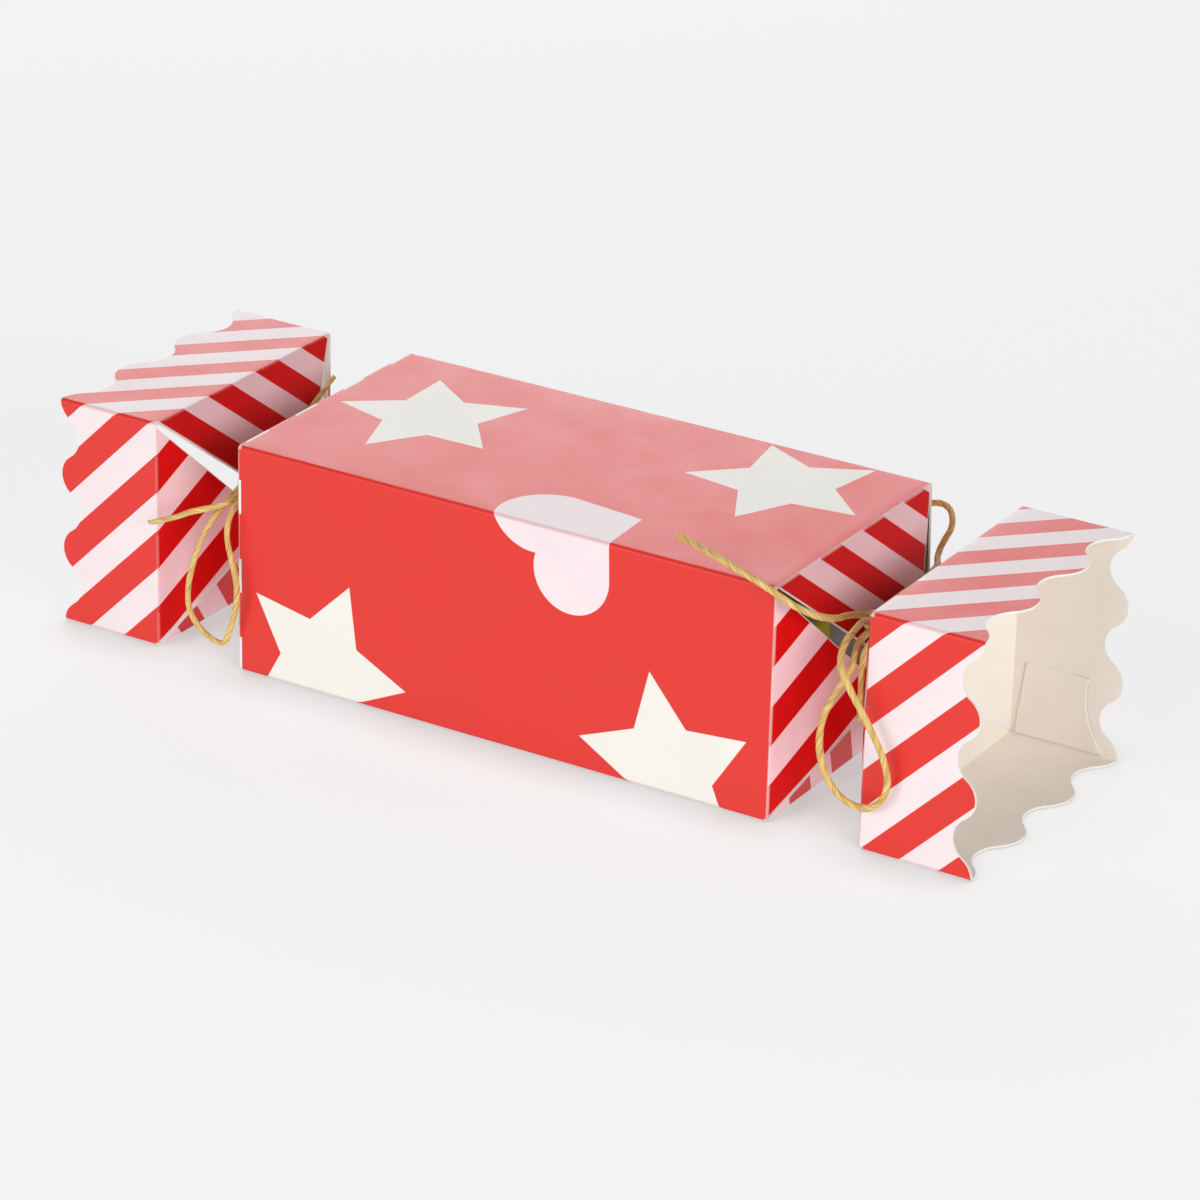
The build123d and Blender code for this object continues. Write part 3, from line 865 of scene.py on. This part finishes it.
# Twine: routes from the knot's middle, in millimetres
KNOT = {"left": Vector((-87.5, -13, 44.96)), "right": Vector((87.5, -13, 44.96))}
ROUTES = {
    "right": {
        "front_loop": [
            (1.3, -2.2, 1.8), (2.1, -9, 4.6), (4.2, -17, 5.8), (5, -24, 4.6), (6.8, -28.6, 1.6),
            (10.7, -29.6, -3.5), (16.2, -28.8, -12.5), (20.4, -28.1, -21.2), (20, -27.7, -28.6),
            (15.2, -27.5, -33.2), (8.6, -27.5, -32.4), (3.9, -27.5, -27.6), (1.7, -27.5, -20.5),
            (2.3, -27.4, -13), (5.1, -26.9, -6.5), (8.1, -25.2, -0.4), (6.7, -20.5, 3), (3.7, -11, 2.4),
            (1.9, -2.7, 0.1)],
        "front_tail": [
            (-1.1, -1.6, 2.3), (-1.4, -8.5, 5.2), (-1.3, -17.5, 6.9), (-5.3, -25.3, 11), (-13, -29, 16.8),
            (-22.5, -27.8, 19), (-32.2, -24.4, 19.6), (-41, -20.4, 19.4)],
        "back_loop": [
            (-0.5, 2.5, 1.6), (-1.1, 11, 1.2), (-1.3, 22, 0.8), (-2.2, 33, 0.2), (-5, 42, -1.6),
            (-9, 49, -3.2), (-10, 53.5, -1.2), (-9, 57, 2.2), (-11, 58.9, 6.2), (-15.5, 58.8, 6.6),
            (-21, 58.8, 3), (-25.5, 58.3, -5), (-27.2, 57.4, -14), (-24.5, 56.4, -22.5),
            (-17.5, 55.6, -26.4), (-10.5, 55, -22.6), (-6.1, 54.2, -14.5), (-3.3, 50.4, -6.5),
            (-1.1, 41.5, -1.7), (0.7, 30, 0.2), (1.5, 18.5, 0.6), (1.4, 9, 0.4), (1.1, 2.6, 0)],
        "back_tail": [
            (1.4, 0.8, 2.4), (2.1, 8.5, 3.2), (2.5, 19, 3.4), (2.9, 30, 3), (3.4, 41, 1.2), (4.1, 51, -2)],
    },
    "left": {
        "front_loop": [
            (1.3, -2.2, 1.6), (1.6, -4.6, 6.2), (5, -10.5, 4.4), (8, -17, -1.6), (9.8, -24.2, -3),
            (11.2, -28.4, -5.4), (11.2, -28.2, -10), (12.8, -28.1, -15.5), (14, -28, -21),
            (13.4, -27.8, -27), (11.4, -27.6, -33.5), (9.4, -27.5, -38.4), (4.2, -27.5, -36.8),
            (0.2, -27.5, -33.6), (-1.7, -27.4, -29.2), (-1, -27.4, -22.5), (1.2, -27.3, -15),
            (3.6, -27, -9.2), (5.8, -25.2, -4.6), (5.6, -20, -2.9), (3.6, -10.5, -2), (1.5, -2.8, -0.4)],
        "front_tail": [
            (-0.8, -2.3, 2), (0, -5, 5), (3.6, -11, 2.8), (7.4, -17.2, -1.2), (8, -23.4, -2),
            (4.8, -27.2, -2.6), (0.6, -29.2, -3.9), (-4.8, -29.4, -7), (-11.8, -28.4, -9.9)],
        "back_loop": [
            (0.6, 2.5, 1.5), (1.5, 11, 3.3), (1.7, 22, 3.9), (2.3, 33, 3.2), (4.3, 43, 1.8), (7.3, 51, 1),
            (11.9, 56, 1.4), (18.3, 58, -1.4), (22.9, 57.8, -8.5), (23.5, 57, -17), (19.7, 56.2, -24.6),
            (12.7, 55.4, -26.8), (6.7, 54.8, -22), (3.5, 54, -14), (2.3, 50, -6.4), (1.1, 41.5, -1.8),
            (-0.5, 30, 0), (-1.5, 18.5, 0.5), (-1.4, 9, 0.3), (-1, 2.6, -0.1)],
        "back_tail": [
            (-0.9, 1, 2.5), (-1.3, 9, 2), (-2.3, 19, 1.2), (-4, 29, 2.4), (-5.2, 36, 4.4), (-3.6, 40, 8.4)],
    },
}
LENGTHS = {"left": {"front_loop": 134.6, "front_tail": 48.3, "back_loop": 168.2, "back_tail": 40.3},
           "right": {"front_loop": 134.2, "front_tail": 65.6, "back_loop": 176.7, "back_tail": 51.8}}
TWINE_DIAMETER = {"left": 1.6, "right": 1.8}
TWINE_RADIUS = {"left": 0.78, "right": 0.88}     # of the drawn cord, whose pleats and swellings vary it
LAY, TWINE_SIDES, TAIL_OPENS = 9.0, 28, 8.0      # one turn of the twist, points round it, a tail's loose end
TWINE_STEP, KNOT_STEP = 0.35, 0.3                # points along it
FIRST_SEED = {"left": 5, "right": 0.5}
WRAP_SEED, KNOT_SEED = 8.2, 11.4
# Each pleat of the twist: its angle, how deep it is, and how wide
PLEATS = [(0.0, 1.0, 0.13), (0.9, 0.45, 0.05), (1.75, 0.7, 0.07), (2.7, 0.4, 0.05), (3.6, 0.85, 0.09),
          (4.6, 0.4, 0.05), (5.4, 0.6, 0.06)]
# The turn round the waist, and the knot over the strands
RING_Y, RING_Z, RING_CORNER, RING_STOP = 17.35, 9.35, 1.6, -6.4
KNOT_POINTS, KNOT_START, KNOT_SWEEP = 14, -0.9, 3.6 * pi
KNOT_LENGTH, KNOT_RADIUS, KNOT_UNEVEN = 3.0, 2.05, 0.25


def line_of(name, points):
    """Points along the smooth line that has the route's points as its control points, in metres."""
    curve = bpy.data.curves.new(name, "CURVE")
    curve.dimensions = "3D"
    curve.resolution_u = 24
    spline = curve.splines.new("NURBS")
    spline.points.add(len(points) - 1)
    for point, place in zip(spline.points, points):
        point.co = (*place, 1)
    spline.order_u = 3
    spline.use_endpoint_u = True
    holder = bpy.data.objects.new(name, curve)
    bpy.context.scene.collection.objects.link(holder)
    bpy.context.view_layer.update()
    drawn = holder.evaluated_get(bpy.context.evaluated_depsgraph_get())
    mesh = bpy.data.meshes.new_from_object(drawn)
    line = [v.co.copy() for v in mesh.vertices]
    bpy.data.objects.remove(holder)
    bpy.data.curves.remove(curve)
    bpy.data.meshes.remove(mesh)
    return line


def walk(line, step):
    """The line's points at even steps along it."""
    spots, left = [line[0]], step
    for a, b in zip(line, line[1:]):
        run = (b - a).length
        at = left
        while at <= run and run > 0:
            spots.append(a.lerp(b, at / run))
            at += step
        left = at - run
    if (spots[-1] - line[-1]).length > step * 0.3:
        spots.append(line[-1])
    return spots


def frames_along(spots):
    """Each point of a line, with two directions square to the line that don't turn round it."""
    ahead = (spots[1] - spots[0]).normalized()
    up = Vector((0.31, 0.17, 0.93))
    up = (up - ahead * up.dot(ahead)).normalized()
    for k, spot in enumerate(spots):
        new = (spots[min(k + 1, len(spots) - 1)] - spots[max(k - 1, 0)]).normalized()
        up = (ahead.rotation_difference(new) @ up).normalized()
        up = (up - new * up.dot(new)).normalized()
        ahead = new
        yield spot, up, ahead.cross(up)


def pleat_depth(turned, along, seed):
    """How deep the pleats go at an angle of the twist: 0 on a ridge, about 1 in the deepest pleat."""
    low = 0.0
    for angle, depth, width in PLEATS:
        off = (turned - angle + pi) % (2 * pi) - pi
        fade = 0.65 + 0.6 * noise.noise((along * 0.12, angle * 3 + seed, 1.7))
        low = max(low, depth * fade * exp(-off * off / width))
    return low


def close_tube(mesh, rings, twist, ridge):
    """Join the rings, and close both ends with a cap that is a little hollow."""
    sides = len(rings[0])
    for a, b in zip(rings, rings[1:]):
        for j in range(sides):
            mesh.faces.new((a[j], a[(j + 1) % sides], b[(j + 1) % sides], b[j]))
    for ring, other in ((rings[0], rings[1]), (rings[-1], rings[-2])):
        middle = sum((v.co for v in ring), Vector()) / sides
        inner = sum((v.co for v in other), Vector()) / sides
        cap = mesh.verts.new(middle - (middle - inner).normalized() * 0.12 * MM)
        cap[twist] = ring[0][twist]
        # The cut end takes part of the painted shade of the pleats
        cap[ridge] = 0.2
        for j in range(sides):
            mesh.faces.new((ring[j], ring[(j + 1) % sides], cap))
    bmesh.ops.recalc_face_normals(mesh, faces=mesh.faces)


def twine_tube(name, line, seed, radius, step=TWINE_STEP, loose=0.0):
    """Paper twisted into a cord: pleats wind along it, and a cut end opens flat over its loose length."""
    spots = walk(line, step * MM)
    mesh = bmesh.new()
    twist = mesh.verts.layers.float_vector.new("twist")
    ridge = mesh.verts.layers.float.new("ridge")
    rings = []
    for k, (spot, up, side) in enumerate(frames_along(spots)):
        along = k * step
        left = (len(spots) - 1 - k) * step
        opened = max(0.0, 1 - left / loose) if loose else 0.0
        swell = 0.95 + 0.10 * noise.noise((along * 0.17, seed * 7.3, 0.4))
        squash = 0.11 * noise.noise((along * 0.11, 3.1, seed * 5.7)) + 0.22 * opened
        wind = 2 * pi * along / LAY + 1.6 * noise.noise((along * 0.06, 9.2, seed * 1.3))
        ring = []
        for j in range(TWINE_SIDES):
            angle = 2 * pi * j / TWINE_SIDES
            turned = angle - wind
            low = pleat_depth(turned, along, seed)
            rough = 0.05 * noise.noise((along * 0.6, 2.4 * cos(turned) + seed, 2.4 * sin(turned)))
            size = swell + rough - (0.20 + 0.12 * opened) * low + squash * cos(2 * angle)
            vert = mesh.verts.new(spot + (up * cos(angle) + side * sin(angle)) * (radius * MM * size))
            vert[twist] = (along + seed * 31, cos(turned), sin(turned))
            # 0 in a deep pleat: the material paints shade there from it
            vert[ridge] = 1 - min(1.0, low)
            ring.append(vert)
        rings.append(ring)
    close_tube(mesh, rings, twist, ridge)
    made = bpy.data.meshes.new(name)
    mesh.to_mesh(made)
    mesh.free()
    made.materials.append(TWINE)
    for face in made.polygons:
        face.use_smooth = True
    piece = bpy.data.objects.new(name, made)
    bpy.context.scene.collection.objects.link(piece)
    return piece, spots


def wrap_points(end):
    """The turn round the waist, from the knot and back to it."""
    sign, knot = ENDS[end], KNOT[end]
    y, z, cut = RING_Y, RING_Z, RING_CORNER
    ring = [(cut - y, z), (-y, z - cut), (-y, cut - z), (cut - y, -z), (y - cut, -z), (y, cut - z),
            (y, z - cut), (y - cut, z), (RING_STOP, z)]
    turn = [Vector((sign * WAIST, aside, HEIGHT / 2 + rise)) for aside, rise in ring]
    return [knot + Vector((sign * 1.2, -0.99, -2.6)), *turn, knot + Vector((-sign * 1.2, 1.1, -2.6))]


def knot_points(knot):
    """Nearly two turns over the strands, tucked under at both ends."""
    turns = []
    for k in range(KNOT_POINTS + 1):
        share = k / KNOT_POINTS
        angle = KNOT_START + share * KNOT_SWEEP
        wide = KNOT_RADIUS + KNOT_UNEVEN * cos(angle * 0.7)
        turns.append(knot + Vector((wide * cos(angle), (share - 0.5) * KNOT_LENGTH, wide * sin(angle) + 0.2)))
    return [knot + Vector((0.6, -1.1, -1.3)), *turns, knot + Vector((-0.5, 1.2, -1.2))]


def tie_piece(end, part, points, seed, **shape):
    """One stretch of an end's twine, from its points in millimetres."""
    line = line_of(f"{end}_{part}_line", [p * MM for p in points])
    piece, spots = twine_tube(f"{end}_twine_{part}", line, seed, TWINE_RADIUS[end], **shape)
    dress(piece, f"{end}_tie", f"{end}_tie_{part}", "paper_twine")
    return piece, spots


for end, sign in ENDS.items():
    for number, (part, offsets) in enumerate(ROUTES[end].items()):
        points = [KNOT[end] + Vector(offset) for offset in offsets]
        tail = "tail" in part
        seed = FIRST_SEED[end] + number
        piece, spots = tie_piece(end, part, points, seed, loose=TAIL_OPENS if tail else 0.0)
        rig.cord(piece, exit=spots[0], length=LENGTHS[end][part] * MM, diameter=TWINE_DIAMETER[end] * MM,
                far_end="bare" if tail else "object", stiffness="limp", lay="hanging", path=spots)
    tie_piece(end, "wrap", wrap_points(end), WRAP_SEED + sign)
    tie_piece(end, "knot", knot_points(KNOT[end]), KNOT_SEED + sign, step=KNOT_STEP)


# Pouch: a film bag with a crimped seal at each end, in millimetres
POUCH_SIZE, POUCH_MIDDLE, POUCH_ROUND = (124, 69, 47), 24.2, 8
POUCH_FLAT, POUCH_FREE = 4, 8               # flat on the floor up to here, fully puffed this much higher
SEAL_FROM, SEAL_LENGTH, SEAL_WIDTH = 61.2, 10.3, 53
SEAL_TOOTH, SEAL_RIB, SEAL_WAVE = 0.5, 0.35, 0.8
FILM_THICKNESS = 0.08


def puffed_bag():
    """A rounded cushion, with puffs and dents where it lies free of the floor."""
    clear_choice()
    bpy.ops.mesh.primitive_cube_add(size=1, location=(0, 0, POUCH_MIDDLE * MM))
    bag = bpy.context.object
    bag.name = bag.data.name = "film_pouch"
    bpy.ops.object.mode_set(mode="EDIT")
    bpy.ops.mesh.select_all(action="SELECT")
    bpy.ops.transform.resize(value=[size * MM for size in POUCH_SIZE])
    bpy.ops.mesh.bevel(offset=POUCH_ROUND * MM, segments=4, profile=0.5, affect="EDGES")
    bpy.ops.mesh.select_all(action="SELECT")
    bpy.ops.mesh.subdivide(number_cuts=7)
    bpy.ops.object.mode_set(mode="OBJECT")
    bpy.ops.object.transform_apply(location=True, rotation=True, scale=True)
    for vert in bag.data.vertices:
        free = min(1.0, max(0.0, (vert.co.z - POUCH_FLAT * MM) / (POUCH_FREE * MM)))
        place = vert.co * 62
        puff = noise.noise(place) * 1.1 + noise.noise(place * 2.7) * 0.55 + abs(noise.noise(place * 4.3)) * 0.5
        vert.co += vert.normal * (puff * free * MM)
    return bag


def crimped_seal(way):
    """A ribbed strip with a toothed edge, left selected."""
    clear_choice()
    bpy.ops.mesh.primitive_grid_add(x_subdivisions=24, y_subdivisions=60, size=1)
    seal = bpy.context.object
    for vert in seal.data.vertices:
        u, v = vert.co.x + 0.5, vert.co.y
        tooth = SEAL_TOOTH * abs((v * SEAL_WIDTH / 2) % 2 - 1) * u
        lift = SEAL_RIB * sin(u * 9 * pi) + SEAL_WAVE * sin(v * 7) * u
        out = way * (SEAL_FROM + SEAL_LENGTH * u - tooth)
        vert.co = Vector((out, v * SEAL_WIDTH, POUCH_MIDDLE + lift)) * MM
    film = seal.modifiers.new("film", "SOLIDIFY")
    film.thickness = FILM_THICKNESS * MM
    bpy.ops.object.modifier_apply(modifier="film")


def film_pouch():
    bag = puffed_bag()
    for way in (-1, 1):
        crimped_seal(way)
        bag.select_set(True)
        bpy.context.view_layer.objects.active = bag
        bpy.ops.object.join()
    bag.data.materials.append(FILM)
    bpy.ops.object.shade_smooth()
    return bag


dress(film_pouch(), "carton", "sweet_pouch", "clear_film")

# Each flavour: its colour, and its deeper swirls
SWEETS = {
    "strawberry": ((0.78, 0.03, 0.06, 1), (0.52, 0.01, 0.03, 1)),
    "orange": ((0.92, 0.30, 0.02, 1), (0.78, 0.17, 0.01, 1)),
    "lemon": ((0.94, 0.72, 0.06, 1), (0.86, 0.55, 0.03, 1)),
    "apple": ((0.30, 0.62, 0.07, 1), (0.15, 0.43, 0.03, 1)),
}
for flavour, (colour, deep) in SWEETS.items():
    node = frame["nodes"][f"{flavour}_sweets"]
    node.data.materials.clear()
    node.data.materials.append(boiled_sweet(f"{flavour}_sweet", colour, deep))


# Stage: a pale floor, soft studio light and the camera
FLOOR_GLOW, FLOOR_LIFT = 0.74, 0.8       # the floor's own light, for what looks at it and for the rest
FLOOR_WHITE, FLOOR_SHADE = (0.86, 0.86, 0.86, 1), (0.4, 0.4, 0.4, 1)
CONTACT_REACH = 16 * MM                  # how near the object is where the floor darkens
BACKDROP, FILL = 0.913, 0.22             # the world, for what looks at it and for the rest


def looked_at(tree):
    """1 for the rays that show the background itself."""
    path = add_node(tree, "ShaderNodeLightPath")
    rays = [path.outputs[label] for label in ("Is Camera Ray", "Is Glossy Ray", "Is Transmission Ray")]
    return combine(tree, "MAXIMUM", rays)


def mix_shaders(tree, share, under, over):
    made = add_node(tree, "ShaderNodeMixShader")
    feed(tree, made.inputs["Fac"], share)
    tree.links.new(under, made.inputs[1])
    tree.links.new(over, made.inputs[2])
    return made.outputs[0]


def floor_white():
    """White that keeps a soft shadow: partly lit, partly its own light, and darker close to the object."""
    made = bpy.data.materials.new("studio_floor")
    made.use_nodes = True
    tree = made.node_tree
    tree.nodes.clear()
    near = add_node(tree, "ShaderNodeAmbientOcclusion", samples=8)
    near.inputs["Distance"].default_value = CONTACT_REACH
    lit = add_node(tree, "ShaderNodeBsdfDiffuse")
    tone = spread(tree, near.outputs["AO"], 0.4, 1.0)
    feed(tree, lit.inputs["Color"], blend_colour(tree, tone, FLOOR_SHADE, FLOOR_WHITE))
    glow = add_node(tree, "ShaderNodeEmission")
    glow.inputs["Color"].default_value = (1, 1, 1, 1)
    glow.inputs["Strength"].default_value = 1.0
    seen_share = maths(tree, "MULTIPLY", spread(tree, near.outputs["AO"], 0.4, 1.0, 0.66, 1.0), FLOOR_GLOW)
    more = maths(tree, "SUBTRACT", seen_share, FLOOR_LIFT)
    share = maths(tree, "MULTIPLY_ADD", looked_at(tree), more, FLOOR_LIFT)
    surface = mix_shaders(tree, share, lit.outputs[0], glow.outputs[0])
    tree.links.new(surface, add_node(tree, "ShaderNodeOutputMaterial").inputs["Surface"])
    return made


def studio_world():
    """A pale backdrop that gives the object only a weak fill."""
    world = bpy.data.worlds.new("studio")
    bpy.context.scene.world = world
    world.use_nodes = True
    tree = world.node_tree
    tree.nodes.clear()
    fill = add_node(tree, "ShaderNodeBackground")
    fill.inputs["Color"].default_value = (1, 1, 1, 1)
    fill.inputs["Strength"].default_value = FILL
    backdrop = add_node(tree, "ShaderNodeBackground")
    backdrop.inputs["Color"].default_value = (BACKDROP, BACKDROP, BACKDROP, 1)
    backdrop.inputs["Strength"].default_value = 1.0
    surface = mix_shaders(tree, looked_at(tree), fill.outputs[0], backdrop.outputs[0])
    tree.links.new(surface, add_node(tree, "ShaderNodeOutputWorld").inputs["Surface"])


def softbox(name, place, aim, width, height, power):
    lamp = bpy.data.lights.new(name, "AREA")
    lamp.shape = "RECTANGLE"
    lamp.size, lamp.size_y = width, height
    lamp.energy = power
    holder = bpy.data.objects.new(name, lamp)
    bpy.context.scene.collection.objects.link(holder)
    look = (Vector(aim) - Vector(place)).normalized()
    holder.rotation_euler = look.to_track_quat("-Z", "Y").to_euler()
    holder.location = place


clear_choice()
bpy.ops.mesh.primitive_plane_add(size=8, location=(0, 0, -0.2 * MM))
floor = bpy.context.object
floor.name = "studio_floor"
floor.data.materials.append(floor_white())
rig.stage(floor)
studio_world()
softbox("front_softbox", (-0.35, -1.35, 0.6), (0, 0, 0.03), 1.1, 0.8, 10.2)
softbox("back_softbox", (-0.86, 1.1, 0.62), (0, 0, 0.05), 1.1, 0.7, 7.4)
softbox("right_softbox", (1.22, -0.6, 0.57), (0.05, 0, 0.03), 0.7, 0.5, 9.8)

# The camera that was fitted to the photo: its angles, its distance from the tube's middle, its step aside
AZIMUTH, ELEVATION, ROLL = radians(30.889), radians(24.062), radians(1.462)
DISTANCE, STEP_RIGHT, STEP_UP = 1.2239, 0.004637, -0.005565
SENSOR, LENS = 36, 150.42


def photo_camera():
    back = Vector((sin(AZIMUTH) * cos(ELEVATION), -cos(AZIMUTH) * cos(ELEVATION), sin(ELEVATION)))
    level = Vector((cos(AZIMUTH), sin(AZIMUTH), 0))
    upright = back.cross(level)
    right = cos(ROLL) * level + sin(ROLL) * upright
    up = -sin(ROLL) * level + cos(ROLL) * upright
    eye = Vector((0, 0, HEIGHT / 2 * MM)) + back * DISTANCE + right * STEP_RIGHT + up * STEP_UP
    camera = bpy.data.cameras.new("camera")
    camera.sensor_width = SENSOR
    camera.lens = LENS
    holder = bpy.data.objects.new("camera", camera)
    bpy.context.scene.collection.objects.link(holder)
    holder.matrix_world = Matrix.Translation(eye) @ Matrix((right, up, back)).transposed().to_4x4()
    bpy.context.scene.camera = holder


photo_camera()
bpy.context.scene.view_settings.view_transform = "Standard"

with open("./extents.json", "w") as out_file:
    json.dump({"cad": [list(corner) for corner in cad_box], "visual": [list(corner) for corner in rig.bounds()]}, out_file)
